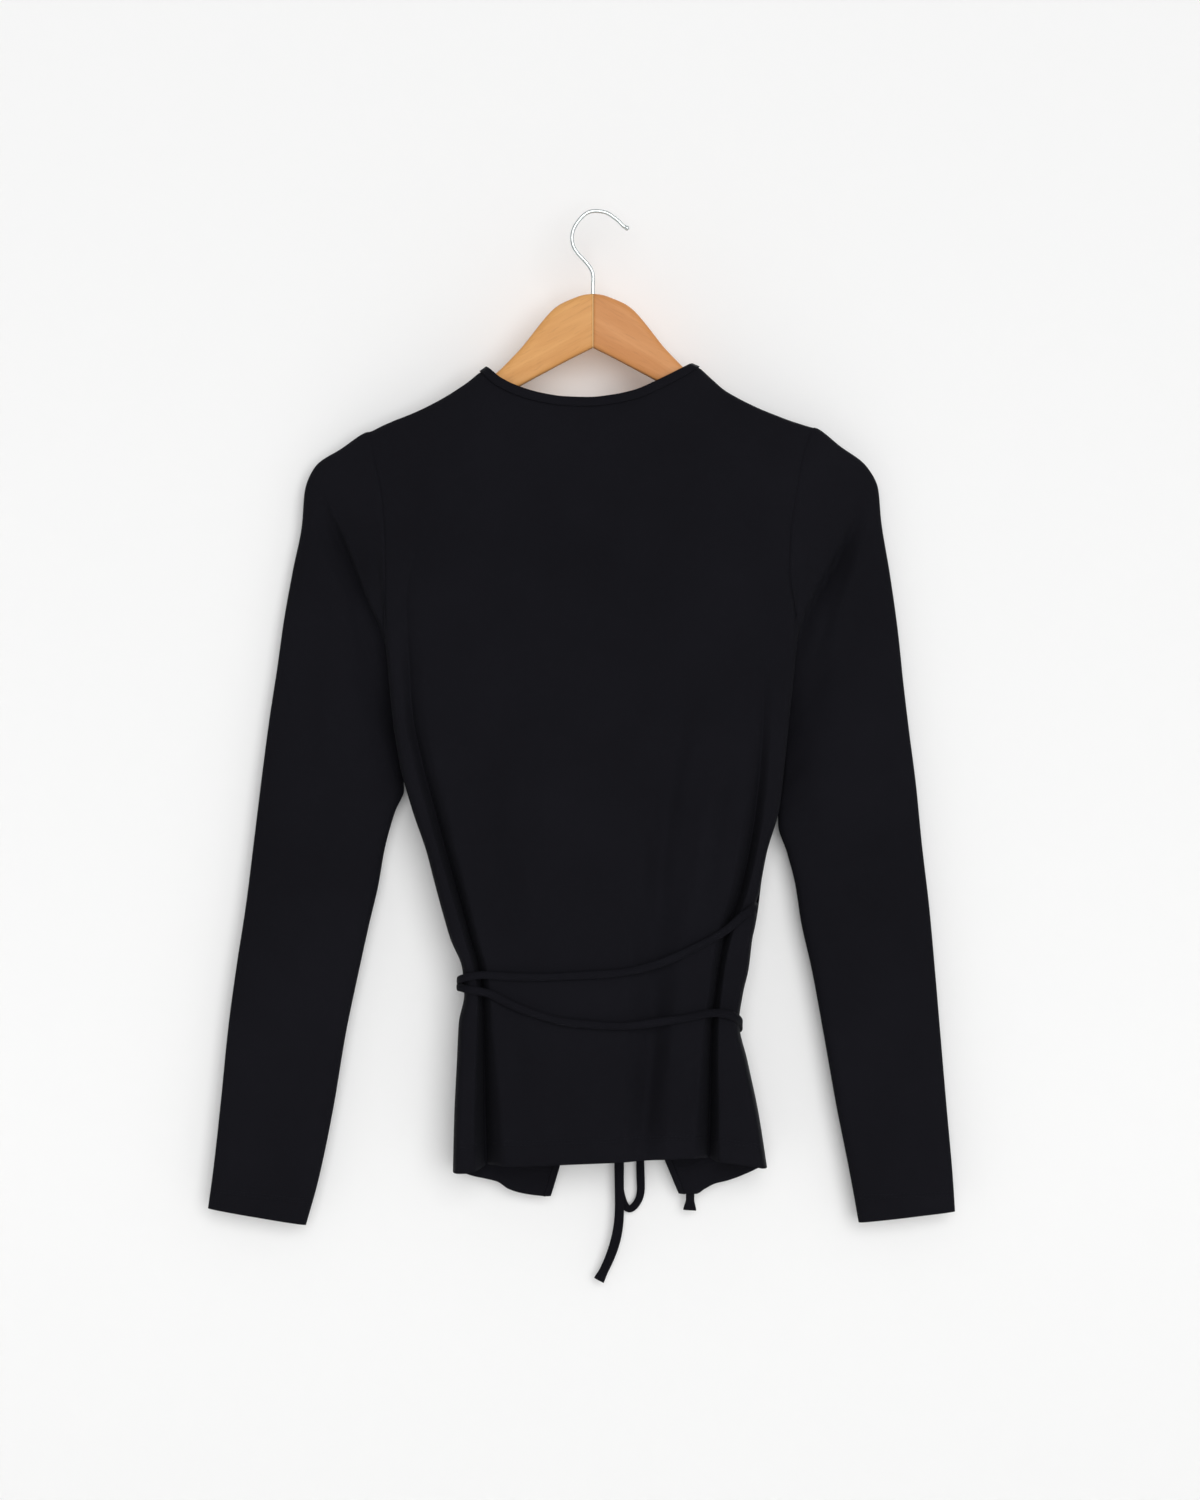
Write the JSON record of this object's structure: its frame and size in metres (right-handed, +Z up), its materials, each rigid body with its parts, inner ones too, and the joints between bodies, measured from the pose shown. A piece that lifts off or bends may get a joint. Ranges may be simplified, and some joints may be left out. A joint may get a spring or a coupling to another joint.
{
  "type": "wrap blouse on a clothes hanger",
  "caption": "Long-sleeved wrap blouse of fine black jersey, tied at the waist with a bow in front, hanging on a contoured wooden clothes hanger with a wire hook.",
  "frame": {"origin": "inner top of the hanger's hook, where a rail or a peg bears", "axes": "+X is the wearer's right, +Y the wearer's front, +Z up"},
  "size_m": [0.5883, 0.0654, 0.8424],
  "materials": {
    "jersey": "fine black jersey, matt",
    "pale_wood": "clear satin lacquer on pale wood",
    "brown_wood": "clear satin lacquer on browner wood",
    "bright_wire": "bright plated steel wire"
  },
  "bodies": {
    "root": {"back": "jersey", "front_left": "jersey", "front_right": "jersey", "sleeve_left": "jersey", "sleeve_right": "jersey", "neck_band": "jersey", "front_band_left": "jersey", "front_band_right": "jersey", "tie_left": "jersey", "tie_right": "jersey", "bow_knot": "jersey", "bow_loop_long": "jersey", "bow_loop_short": "jersey", "tie_end_long": "jersey", "tie_end_short": "jersey", "hanger_left": "pale_wood", "hanger_right": "brown_wood", "hook": "bright_wire"}
  },
  "joints": []
}
